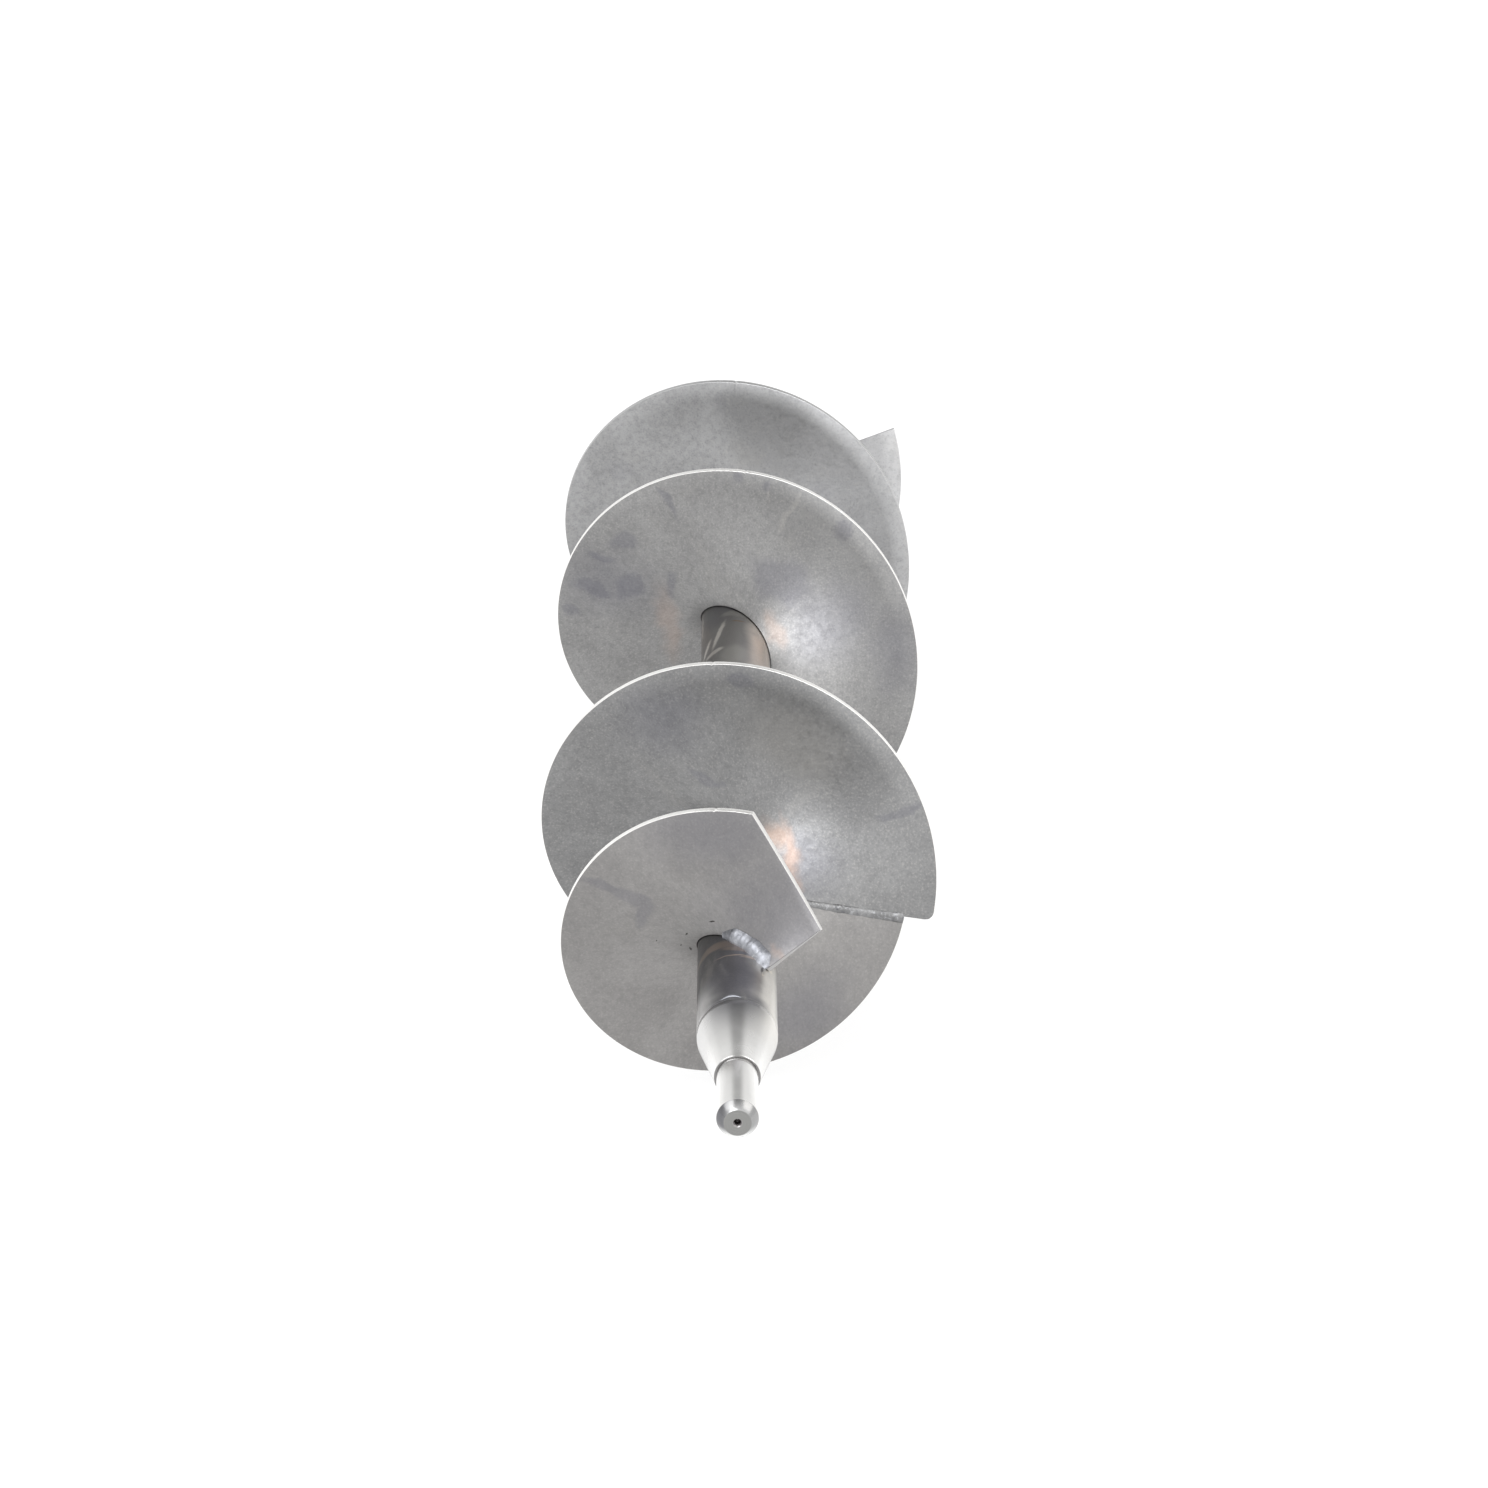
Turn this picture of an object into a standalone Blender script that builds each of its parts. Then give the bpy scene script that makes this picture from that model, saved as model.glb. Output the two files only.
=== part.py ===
"""Mortar mixing screw: a welded steel shaft with one small front flight and large flights behind it.

Metres, +Z up. The shaft lies along +Y and its front journal points to -Y. The origin is on the
shaft's axis, halfway along the screw. A station is a distance along the shaft from the front end,
and an angle is counted anticlockwise from +X, seen from the front.
"""

import math

import bmesh
import bpy
from mathutils import Vector

MM = 0.001
GAP = 0.3 * MM

# Whole screw
LENGTH = 1040 * MM
SHAFT_RADIUS = 20 * MM
PITCH = 165 * MM
PLATE = 4 * MM
FRONT_RIM = 90 * MM
REAR_RIM = 105 * MM

# Shaft tube and the girth welds at its ends
TUBE_WALL = 5 * MM
TUBE_FRONT = 100 * MM
TUBE_REAR = 980 * MM
GROOVE_DEPTH = 3 * MM
GROOVE_HALF_WIDTH = 1.8 * MM
SPIGOT_LENGTH = 40 * MM

# Front stub: a journal, a small shoulder and a cone up to the tube
JOURNAL_RADIUS = 10.2 * MM
JOURNAL_LENGTH = 51 * MM
JOURNAL_NOSE = 6.7 * MM
JOURNAL_NOSE_LENGTH = 5.2 * MM
RELIEF_RADIUS = 9.8 * MM
RELIEF_WIDTH = 1.2 * MM
SHOULDER_RADIUS = 11.3 * MM
CONE_END = 95.4 * MM
CENTRE_MOUTH = 2.2 * MM
CENTRE_PILOT = 1 * MM
CENTRE_DEPTH = 6 * MM

# Rear stub: a drive end with two flats
DRIVE_RADIUS = 15 * MM
DRIVE_START = 986 * MM
DRIVE_CHAMFER = 2 * MM
FLATS_START = 1004 * MM
ACROSS_FLATS = 22 * MM

# Flights: where each set crosses angle 0, and the angles where its plates begin and end
FRONT_SET_STATION = 130 * MM
REAR_SET_STATION = 607.5 * MM
FRONT_START = 40
FRONT_CORNER_RADIUS = 55 * MM
FRONT_FULL_RIM = 85
FRONT_JOINT = 351.5
TURN = 360
REAR_START = -95
REAR_END = 741
COLUMN_STEP = 5
RADIAL_STEPS = 6

# All plate ends but the front one are cut along lines that pass the shaft's axis at an offset
END_OFFSET = -6.8 * MM
OFFSET_FADE = 25
JOINT_HALF_GAP = 0.8 * MM

# Welds
BEAD_HALF_WIDTH = 2.7 * MM
BEAD_CROWN = 1.2 * MM
FILLET_LEG = 5 * MM
FILLET_BULGE = 0.5 * MM
FILLET_END_SIZE = 0.5
FILLET_SETBACK = 8
STITCH = 64
STITCH_SETBACK = 14
STITCH_UP = 7 * MM
STITCH_ALONG = 3.4 * MM

ROUND_SEGMENTS = 48


def remove_old_objects():
    for old in list(bpy.data.objects):
        bpy.data.objects.remove(old, do_unlink=True)


def make_material(name, colour, roughness, metallic=1.0):
    material = bpy.data.materials.new(name)
    material.use_nodes = True
    shader = material.node_tree.nodes["Principled BSDF"]
    shader.inputs["Base Color"].default_value = (*colour, 1.0)
    shader.inputs["Roughness"].default_value = roughness
    shader.inputs["Metallic"].default_value = metallic
    return material


def place(name, bm, material, axis, station=0.0, angle=0.0):
    """Turn a bmesh into an object, put at a station on the axis and turned to an angle."""
    bmesh.ops.recalc_face_normals(bm, faces=bm.faces)
    mesh = bpy.data.meshes.new(name)
    bm.to_mesh(mesh)
    bm.free()
    mesh.materials.append(material)
    mesh.shade_smooth()
    mesh.set_sharp_from_angle(angle=math.radians(30))
    piece = bpy.data.objects.new(name, mesh)
    bpy.context.scene.collection.objects.link(piece)
    piece.parent = axis
    piece.location = (0, station, 0)
    piece.rotation_euler = (0, -math.radians(angle), 0)
    return piece


def skin_loops(bm, loops, closed):
    """Join each loop of vertices to the next with quads, and the last to the first when closed."""
    count = len(loops[0])
    pairs = list(zip(loops, loops[1:]))
    if closed:
        pairs.append((loops[-1], loops[0]))
    for near, far in pairs:
        for i in range(count):
            j = (i + 1) % count
            bm.faces.new((near[i], near[j], far[j], far[i]))


# ---------------------------------------------------------------- turned pieces


def turned(profile):
    """Spin a closed outline of (station, radius) points about the Y axis; radius 0 is a pole."""
    bm = bmesh.new()
    rings = []
    for station, radius in profile:
        if radius == 0:
            rings.append([bm.verts.new((0, station, 0))])
            continue
        ring = []
        for i in range(ROUND_SEGMENTS):
            angle = math.tau * i / ROUND_SEGMENTS
            ring.append(bm.verts.new((radius * math.cos(angle), station, radius * math.sin(angle))))
        rings.append(ring)
    for near, far in zip(rings, rings[1:] + rings[:1]):
        for i in range(ROUND_SEGMENTS):
            j = (i + 1) % ROUND_SEGMENTS
            corners = [near[i % len(near)], near[j % len(near)], far[j % len(far)], far[i % len(far)]]
            corners = list(dict.fromkeys(corners))
            if len(corners) > 2:
                bm.faces.new(corners)
    return bm


def make_shaft_tube(axis, steel):
    bore = SHAFT_RADIUS - TUBE_WALL
    root = SHAFT_RADIUS - GROOVE_DEPTH
    front = TUBE_FRONT + GAP
    rear = TUBE_REAR - GAP
    profile = [
        (front, bore),
        (front, root),
        (TUBE_FRONT + GROOVE_HALF_WIDTH, SHAFT_RADIUS),
        (TUBE_REAR - GROOVE_HALF_WIDTH, SHAFT_RADIUS),
        (rear, root),
        (rear, bore),
    ]
    place("shaft_tube", turned(profile), steel, axis)


def make_girth_weld(name, station, axis, weld):
    """A ring that fills the groove between the tube and a stub, dressed flush with both."""
    slope = (GROOVE_HALF_WIDTH - GAP) / GROOVE_DEPTH
    apex = SHAFT_RADIUS - GROOVE_DEPTH + GAP
    half_width = slope * (SHAFT_RADIUS - apex)
    profile = [(0, apex), (-half_width, SHAFT_RADIUS), (half_width, SHAFT_RADIUS)]
    place(name, turned(profile), weld, axis, station)


def make_front_stub(axis, steel):
    """The turned front end: centre hole, tapered nose, journal, relief, shoulder, cone and spigot."""
    spigot = SHAFT_RADIUS - TUBE_WALL - GAP
    countersink_depth = (CENTRE_MOUTH - CENTRE_PILOT) * math.sqrt(3)
    profile = [
        (CENTRE_DEPTH + CENTRE_PILOT / 2, 0),
        (CENTRE_DEPTH, CENTRE_PILOT),
        (countersink_depth, CENTRE_PILOT),
        (0, CENTRE_MOUTH),
        (0, JOURNAL_NOSE),
        (JOURNAL_NOSE_LENGTH, JOURNAL_RADIUS),
        (JOURNAL_LENGTH - RELIEF_WIDTH, JOURNAL_RADIUS),
        (JOURNAL_LENGTH - RELIEF_WIDTH, RELIEF_RADIUS),
        (JOURNAL_LENGTH, RELIEF_RADIUS),
        (JOURNAL_LENGTH, SHOULDER_RADIUS),
        (CONE_END, SHAFT_RADIUS),
        (TUBE_FRONT - GROOVE_HALF_WIDTH, SHAFT_RADIUS),
        (TUBE_FRONT - GAP, SHAFT_RADIUS - GROOVE_DEPTH),
        (TUBE_FRONT - GAP, spigot),
        (TUBE_FRONT + SPIGOT_LENGTH, spigot),
        (TUBE_FRONT + SPIGOT_LENGTH, 0),
    ]
    place("front_journal_stub", turned(profile), steel, axis)


def make_rear_stub(axis, steel):
    """The turned drive end, with a spigot inside the tube and two milled flats."""
    spigot = SHAFT_RADIUS - TUBE_WALL - GAP
    profile = [
        (TUBE_REAR - SPIGOT_LENGTH, 0),
        (TUBE_REAR - SPIGOT_LENGTH, spigot),
        (TUBE_REAR + GAP, spigot),
        (TUBE_REAR + GAP, SHAFT_RADIUS - GROOVE_DEPTH),
        (TUBE_REAR + GROOVE_HALF_WIDTH, SHAFT_RADIUS),
        (DRIVE_START, SHAFT_RADIUS),
        (DRIVE_START, DRIVE_RADIUS),
        (LENGTH - DRIVE_CHAMFER, DRIVE_RADIUS),
        (LENGTH, DRIVE_RADIUS - DRIVE_CHAMFER),
        (LENGTH, 0),
    ]
    stub = place("rear_drive_stub", turned(profile), steel, axis)
    for side in (-1, 1):
        cutter = make_flat_cutter(side, axis)
        cut = stub.modifiers.new(cutter.name, "BOOLEAN")
        cut.operation = "DIFFERENCE"
        cut.object = cutter


def make_flat_cutter(side, axis):
    """A box over one side of the drive end; its inner face lies on the flat."""
    size = 2 * DRIVE_RADIUS
    length = LENGTH - FLATS_START + size
    bm = bmesh.new()
    bmesh.ops.create_cube(bm, size=1)
    bmesh.ops.scale(bm, vec=(2 * size, length, size), verts=bm.verts)
    mesh = bpy.data.meshes.new("flat_cutter")
    bm.to_mesh(mesh)
    bm.free()
    cutter = bpy.data.objects.new("flat_cutter", mesh)
    bpy.context.scene.collection.objects.link(cutter)
    cutter.parent = axis
    cutter.location = (0, FLATS_START + length / 2, side * (ACROSS_FLATS + size) / 2)
    cutter.hide_render = True
    cutter.display_type = "WIRE"
    return cutter


# ---------------------------------------------------------------- flights


def lead_angle(radius):
    """How steeply the screw surface climbs along the shaft at a radius."""
    return math.atan2(PITCH, math.tau * radius)


def climb(angle):
    """The distance along the shaft that the screw surface covers over an angle in degrees."""
    return PITCH * angle / 360


def screw_point(radius, degrees, offset=0.0):
    """A point of the screw surface, or one at an offset from it along the shaft."""
    angle = math.radians(degrees)
    return Vector((radius * math.cos(angle), climb(degrees) + offset, radius * math.sin(angle)))


def screw_normal(radius, degrees):
    """The screw surface's unit normal, pointing to the rear."""
    angle = math.radians(degrees)
    lean = lead_angle(radius)
    across = math.sin(lean)
    return Vector((math.sin(angle) * across, math.cos(lean), -math.cos(angle) * across))


def column_angles(sweep, breaks=()):
    """Angles of the plate's cross-sections: both ends, every step between, and any breaks."""
    angles = {0, sweep, *breaks}
    angles.update(range(COLUMN_STEP, math.floor(sweep) - 1, COLUMN_STEP))
    return sorted(angles)


def offset_angle(radius, shift):
    """The angle that a shift along the screw surface makes at a radius, in degrees."""
    return math.degrees(shift * math.cos(lead_angle(radius)) / radius)


def radii(root, rim):
    """Radii from root to rim, closer together near the shaft, where the screw surface twists most."""
    return [root * (rim / root) ** (step / RADIAL_STEPS) for step in range(RADIAL_STEPS + 1)]


def plate_section(bm, degrees, rim, edge_shift):
    """One cross-section of the plate, as a loop up its front face and down its back face.

    edge_shift moves the section round the shaft by the same distance at every radius.
    """
    front = []
    back = []
    for radius in radii(SHAFT_RADIUS + GAP, rim):
        shifted = degrees + offset_angle(radius, edge_shift)
        middle = screw_point(radius, shifted)
        half = PLATE / 2 * screw_normal(radius, shifted)
        front.append(bm.verts.new(middle - half))
        back.append(bm.verts.new(middle + half))
    return front + back[::-1]


def flight(sweep, rim_at, start_shift, end_shift, breaks=()):
    """A flight plate from angle 0 to its sweep; rim_at gives the rim radius at an angle.

    Each end is shifted off its radius, and the sections near it follow in smaller steps.
    """
    bm = bmesh.new()
    loops = []
    for degrees in column_angles(sweep, breaks):
        near_start = max(0, 1 - degrees / OFFSET_FADE)
        near_end = max(0, 1 - (sweep - degrees) / OFFSET_FADE)
        shift = start_shift * near_start + end_shift * near_end
        loops.append(plate_section(bm, degrees, rim_at(degrees), shift))
    skin_loops(bm, loops, closed=False)
    for loop in (loops[0], loops[-1]):
        for i in range(RADIAL_STEPS):
            bm.faces.new((loop[i], loop[i + 1], loop[-i - 2], loop[-i - 1]))
    return bm


def front_rim_at(degrees):
    """Rim radius of the front flight: its leading edge is cut straight across to the full rim."""
    cut_sweep = FRONT_FULL_RIM - FRONT_START
    if degrees >= cut_sweep:
        return FRONT_RIM
    start = Vector((FRONT_CORNER_RADIUS, 0))
    end = FRONT_RIM * Vector((math.cos(math.radians(cut_sweep)), math.sin(math.radians(cut_sweep))))
    ray = Vector((math.cos(math.radians(degrees)), math.sin(math.radians(degrees))))
    cut = end - start
    return (start.x * cut.y - start.y * cut.x) / (ray.x * cut.y - ray.y * cut.x)


def rear_rim_at(_degrees):
    return REAR_RIM


def make_flights(axis, steel):
    """Each plate that meets another stops half a gap short of the line they share."""
    front = flight(
        FRONT_JOINT - FRONT_START,
        front_rim_at,
        0,
        END_OFFSET - JOINT_HALF_GAP,
        breaks=(FRONT_FULL_RIM - FRONT_START,),
    )
    place("front_flight", front, steel, axis, FRONT_SET_STATION + climb(FRONT_START), FRONT_START)
    main = flight(TURN, rear_rim_at, END_OFFSET + JOINT_HALF_GAP, END_OFFSET)
    place("main_flight", main, steel, axis, FRONT_SET_STATION + climb(FRONT_JOINT), FRONT_JOINT)
    for number, (start, end) in enumerate(rear_plates(), start=1):
        start_gap = 0 if start == REAR_START else JOINT_HALF_GAP
        end_gap = 0 if end == REAR_END else JOINT_HALF_GAP
        plate = flight(end - start, rear_rim_at, END_OFFSET + start_gap, END_OFFSET - end_gap)
        place(f"rear_flight_{number}", plate, steel, axis, REAR_SET_STATION + climb(start), start)


def rear_plates():
    """Start and end angle of each plate in the rear set: full turns, and what is left over."""
    joints = list(range(REAR_START, REAR_END, TURN)) + [REAR_END]
    return list(zip(joints, joints[1:]))


# ---------------------------------------------------------------- welds


def butt_bead_outline():
    """The bead across a joint: a cap on each face of the plate and a thin neck through it."""
    face = PLATE / 2 + GAP
    neck = JOINT_HALF_GAP - GAP
    cap = [
        (neck, face),
        (BEAD_HALF_WIDTH, face),
        (0.6 * BEAD_HALF_WIDTH, face + 0.8 * BEAD_CROWN),
        (0, face + BEAD_CROWN),
        (-0.6 * BEAD_HALF_WIDTH, face + 0.8 * BEAD_CROWN),
        (-BEAD_HALF_WIDTH, face),
        (-neck, face),
    ]
    return cap + [(-across, -through) for across, through in cap]


def butt_weld(rim):
    """A bead along the line that two plates share near angle 0, out to a rim radius."""
    bm = bmesh.new()
    loops = []
    for radius in radii(SHAFT_RADIUS + 2 * GAP, rim):
        degrees = offset_angle(radius, END_OFFSET)
        centre = screw_point(radius, degrees)
        through = screw_normal(radius, degrees)
        outward = Vector((math.cos(math.radians(degrees)), 0, math.sin(math.radians(degrees))))
        along = outward.cross(through)
        loops.append([bm.verts.new(centre + a * along + t * through) for a, t in butt_bead_outline()])
    skin_loops(bm, loops, closed=False)
    bm.faces.new(loops[0])
    bm.faces.new(loops[-1])
    return bm


def beside_seam(radius, degrees, reach):
    """A point at a reach from the seam between plate and shaft, square to the seam at an angle."""
    root = SHAFT_RADIUS + GAP
    lean = lead_angle(root)
    turned_back = math.degrees(reach * math.sin(lean) / root)
    return screw_point(radius, degrees - turned_back, reach / math.cos(lean))


def fillet_section(bm, degrees, side, size, up, along):
    """A fillet's cross-section between the shaft and the plate; side is 1 behind the plate.

    up and along are its legs, up the plate and along the shaft.
    """
    root = SHAFT_RADIUS + GAP
    tip = root + up * size
    inner = PLATE / 2 + GAP
    top = inner * math.cos(lead_angle(root)) / math.cos(lead_angle(tip))
    foot = inner + along * size
    bulge = FILLET_BULGE * size
    section = [
        (root, inner),
        (tip, top),
        ((root + tip) / 2 + bulge, (foot + top) / 2 + bulge),
        (root, foot),
    ]
    return [bm.verts.new(beside_seam(radius, degrees, side * reach)) for radius, reach in section]


def fillet_weld(sweep, side, up, along):
    """A bead along the root of a flight from angle 0, tapering at both ends."""
    bm = bmesh.new()
    columns = column_angles(sweep)
    loops = []
    for degrees in columns:
        size = FILLET_END_SIZE if degrees in (columns[0], columns[-1]) else 1.0
        loops.append(fillet_section(bm, degrees, side, size, up, along))
    skin_loops(bm, loops, closed=False)
    bm.faces.new(loops[0])
    bm.faces.new(loops[-1])
    return bm


def make_butt_welds(axis, weld):
    bead = butt_weld(FRONT_RIM - GAP)
    place("front_main_butt_weld", bead, weld, axis, FRONT_SET_STATION + climb(FRONT_JOINT), FRONT_JOINT)
    for number, (_start, end) in enumerate(rear_plates()[:-1], start=1):
        bead = butt_weld(REAR_RIM - GAP)
        place(f"rear_butt_weld_{number}", bead, weld, axis, REAR_SET_STATION + climb(end), end)


def make_root_welds(axis, weld):
    """A long fillet behind each flight, and a short stitch in front of each end of a set."""
    slant = offset_angle(SHAFT_RADIUS + GAP, END_OFFSET)
    fillets = [
        ("front_flight_root_weld", FRONT_SET_STATION, FRONT_START, FRONT_JOINT + slant),
        ("main_flight_root_weld", FRONT_SET_STATION, FRONT_JOINT + slant, FRONT_JOINT + TURN + slant),
    ]
    for number, (start, end) in enumerate(rear_plates(), start=1):
        fillets.append((f"rear_flight_{number}_root_weld", REAR_SET_STATION, start + slant, end + slant))
    for name, set_station, start, end in fillets:
        first = start + FILLET_SETBACK
        bead = fillet_weld(end - start - 2 * FILLET_SETBACK, 1, FILLET_LEG, FILLET_LEG)
        place(name, bead, weld, axis, set_station + climb(first), first)
    before_end = slant - STITCH - STITCH_SETBACK
    stitches = [
        ("front_start_stitch_weld", FRONT_SET_STATION, FRONT_START),
        ("main_end_stitch_weld", FRONT_SET_STATION, FRONT_JOINT + TURN + before_end),
        ("rear_start_stitch_weld", REAR_SET_STATION, REAR_START + slant),
        ("rear_end_stitch_weld", REAR_SET_STATION, REAR_END + before_end),
    ]
    for name, set_station, first in stitches:
        bead = fillet_weld(STITCH, -1, STITCH_UP, STITCH_ALONG)
        place(name, bead, weld, axis, set_station + climb(first), first)


def main():
    remove_old_objects()
    axis = bpy.data.objects.new("screw_front_end", None)
    axis.location = (0, -LENGTH / 2, 0)
    bpy.context.scene.collection.objects.link(axis)
    machined = make_material("machined_steel", (0.62, 0.60, 0.57), 0.30)
    rolled = make_material("rolled_steel", (0.30, 0.30, 0.31), 0.50)
    plate = make_material("plate_steel", (0.34, 0.34, 0.34), 0.45)
    weld = make_material("weld_metal", (0.22, 0.23, 0.25), 0.55)
    make_shaft_tube(axis, rolled)
    make_front_stub(axis, machined)
    make_rear_stub(axis, machined)
    make_girth_weld("front_girth_weld", TUBE_FRONT, axis, weld)
    make_girth_weld("rear_girth_weld", TUBE_REAR, axis, weld)
    make_flights(axis, plate)
    make_butt_welds(axis, weld)
    make_root_welds(axis, weld)


main()
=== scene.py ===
"""Looks of the mortar mixing screw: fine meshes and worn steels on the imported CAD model.

Metres, +Z up. The shaft lies along +Y with its journal at -Y. A station is a distance along the
shaft from its front end, and an angle is counted anticlockwise from +X, seen from the front.
"""

import math

import bmesh
import bpy
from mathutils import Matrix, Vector, noise


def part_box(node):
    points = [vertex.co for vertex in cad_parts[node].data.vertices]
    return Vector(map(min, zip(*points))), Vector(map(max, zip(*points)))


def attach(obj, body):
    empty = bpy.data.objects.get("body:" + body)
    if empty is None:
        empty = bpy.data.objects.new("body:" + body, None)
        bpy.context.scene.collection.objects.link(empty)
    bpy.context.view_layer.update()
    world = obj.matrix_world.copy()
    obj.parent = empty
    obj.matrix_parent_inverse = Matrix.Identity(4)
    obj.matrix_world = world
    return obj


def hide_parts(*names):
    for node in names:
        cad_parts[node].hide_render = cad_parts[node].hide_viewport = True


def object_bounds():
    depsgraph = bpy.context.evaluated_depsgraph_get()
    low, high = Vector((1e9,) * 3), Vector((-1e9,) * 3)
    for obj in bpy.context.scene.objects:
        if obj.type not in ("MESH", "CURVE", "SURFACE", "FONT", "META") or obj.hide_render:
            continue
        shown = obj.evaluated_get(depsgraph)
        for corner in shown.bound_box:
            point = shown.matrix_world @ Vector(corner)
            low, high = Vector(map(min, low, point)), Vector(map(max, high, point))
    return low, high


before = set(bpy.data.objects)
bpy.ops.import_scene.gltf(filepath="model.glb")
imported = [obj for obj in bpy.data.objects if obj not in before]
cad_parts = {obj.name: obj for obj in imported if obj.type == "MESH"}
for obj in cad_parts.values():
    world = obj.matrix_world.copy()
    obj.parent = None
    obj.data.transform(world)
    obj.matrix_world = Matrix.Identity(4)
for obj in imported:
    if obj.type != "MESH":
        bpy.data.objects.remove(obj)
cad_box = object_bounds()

MM = 0.001

# The screw, as in the CAD model
SHAFT_RADIUS = 20 * MM
PITCH = 165 * MM
PLATE = 4 * MM
FRONT_RIM = 90 * MM
REAR_RIM = 105 * MM
TUBE_WALL = 5 * MM
TUBE_FRONT = 100 * MM
TUBE_REAR = 980 * MM
FRONT_SET_STATION = 130 * MM
REAR_SET_STATION = 607.5 * MM
FRONT_START = 40
FRONT_CORNER_RADIUS = 55 * MM
FRONT_FULL_RIM = 85
FRONT_JOINT = 351.5
TURN = 360
REAR_START = -95
REAR_END = 741
END_OFFSET = -6.8 * MM
OFFSET_FADE = 25
JOINT_HALF_GAP = 0.8 * MM
FILLET_LEG = 5 * MM
FILLET_SETBACK = 8
STITCH = 64
STITCH_SETBACK = 14
STITCH_UP = 7 * MM
STITCH_ALONG = 3.4 * MM
GAP = 0.3 * MM
SPIGOT_LENGTH = 40 * MM
DRIVE_RADIUS = 15 * MM
DRIVE_START = 986 * MM
FLATS_START = 1004 * MM
HALF_FLATS = 11 * MM

# Fineness of the meshes
COLUMN_STEP = 2
RADIAL_ROWS = 15
EDGE = 0.45 * MM
RIM_TRIM = 0.04 * MM
ROUND_SEGMENTS = 144
BUTT_STEP = 0.5 * MM
FILLET_STEP = 0.75

# The plates stop just short of the shaft, which shows as a dark line
ROOT_GAP = 0.45 * MM

# How clean the cut is at the ends of the plates and along the leading edge; a full rim has 1
END_SHINE = 0.45
LEADING_EDGE_SHINE = 0.58

# Torch nicks in the rims, at these angles
NICK_DEPTH = 0.4 * MM
NICK_HALF_WIDTH = 0.35
FRONT_NICK = 97
MAIN_NICK = FRONT_NICK + 360
REAR_NICKS = (87, 450, None)

MARK_SOFTNESS = 0.4

# Light of the room, in all directions, in front above the horizon, behind and in the gap overhead
ROOM_LIGHT = 1.05
FRONT_GLOW = 0.6
BEHIND_SHADE = 0.2
GAP_SHADE = 0.42

FLOOR_HALF = 14
FLOOR_GLOW = 0.7
FLOOR_DROP = 0.2 * MM

CAMERA_PLACE = (-0.0048, -2.8989, 1.1424)
CAMERA_TURN = (68.258, -0.0635, -0.159)
CAMERA_LENS = 134.22

front_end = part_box("front_journal_stub")[0].y
rear_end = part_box("rear_drive_stub")[1].y


# ---------------------------------------------------------------- shape helpers


def lead_angle(radius):
    """How steeply the screw surface climbs along the shaft at a radius."""
    return math.atan2(PITCH, math.tau * radius)


def screw_point(set_station, radius, degrees, offset=0.0):
    """A point of a set's screw surface, or one at an offset from it along the shaft."""
    angle = math.radians(degrees)
    station = set_station + PITCH * degrees / 360 + offset
    return Vector((radius * math.cos(angle), front_end + station, radius * math.sin(angle)))


def on_tube(station, degrees, radius=SHAFT_RADIUS):
    angle = math.radians(degrees)
    return Vector((radius * math.cos(angle), front_end + station, radius * math.sin(angle)))


def screw_normal(radius, degrees):
    """The screw surface's unit normal, pointing to the rear."""
    angle = math.radians(degrees)
    lean = lead_angle(radius)
    across = math.sin(lean)
    return Vector((math.sin(angle) * across, math.cos(lean), -math.cos(angle) * across))


def offset_angle(radius, shift):
    """The angle that a shift along the screw surface makes at a radius, in degrees."""
    return math.degrees(shift * math.cos(lead_angle(radius)) / radius)


def smooth_step(value, low, high):
    t = min(1, max(0, (value - low) / (high - low)))
    return t * t * (3 - 2 * t)


def plate_wave(point):
    """How far a flight bends out of its true screw surface at a point; nothing at the shaft."""
    radius = math.hypot(point.x, point.z)
    long_wave = 0.32 * MM * noise.noise(point * 16)
    short_wave = 0.07 * MM * noise.noise(point * 60)
    return (long_wave + short_wave) * smooth_step(radius, 24 * MM, 60 * MM)


def skin(loops, closed=False, caps="strip"):
    """Points and faces of a solid skinned over loops of points.

    Open ends are capped with a strip across the loop, or with one face.
    """
    count = len(loops[0])
    points = [point for loop in loops for point in loop]
    faces = []
    pairs = list(zip(range(len(loops)), range(1, len(loops))))
    if closed:
        pairs.append((len(loops) - 1, 0))
    for near, far in pairs:
        for i in range(count):
            j = (i + 1) % count
            faces.append((near * count + i, near * count + j, far * count + j, far * count + i))
    if closed:
        return points, faces
    for first in (0, (len(loops) - 1) * count):
        if caps == "face":
            faces.append([first + i for i in range(count)])
            continue
        for i in range(count // 2 - 1):
            far = count - 1 - i
            faces.append((first + i, first + i + 1, first + far - 1, first + far))
    return points, faces


def make_piece(name, shapes, material, slot, *replaced):
    """One mesh object from one or more (points, faces) solids, riding on the screw.

    A third member of a shape says how much of each point lies on a cut edge, from 0 to 1.
    """
    bm = bmesh.new()
    cut = bm.verts.layers.float.new("cut_edge")
    for points, faces, *cuts in shapes:
        verts = [bm.verts.new(point) for point in points]
        for face in faces:
            bm.faces.new([verts[i] for i in face])
        for vert, share in zip(verts, cuts[0] if cuts else ()):
            vert[cut] = share
    bmesh.ops.recalc_face_normals(bm, faces=bm.faces)
    mesh = bpy.data.meshes.new(name)
    bm.to_mesh(mesh)
    bm.free()
    mesh.materials.append(material)
    mesh.shade_smooth()
    mesh.set_sharp_from_angle(angle=math.radians(40))
    piece = bpy.data.objects.new(name, mesh)
    bpy.context.scene.collection.objects.link(piece)
    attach(piece, "root")
    if replaced:
        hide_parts(*replaced)


# ---------------------------------------------------------------- material helpers


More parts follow.
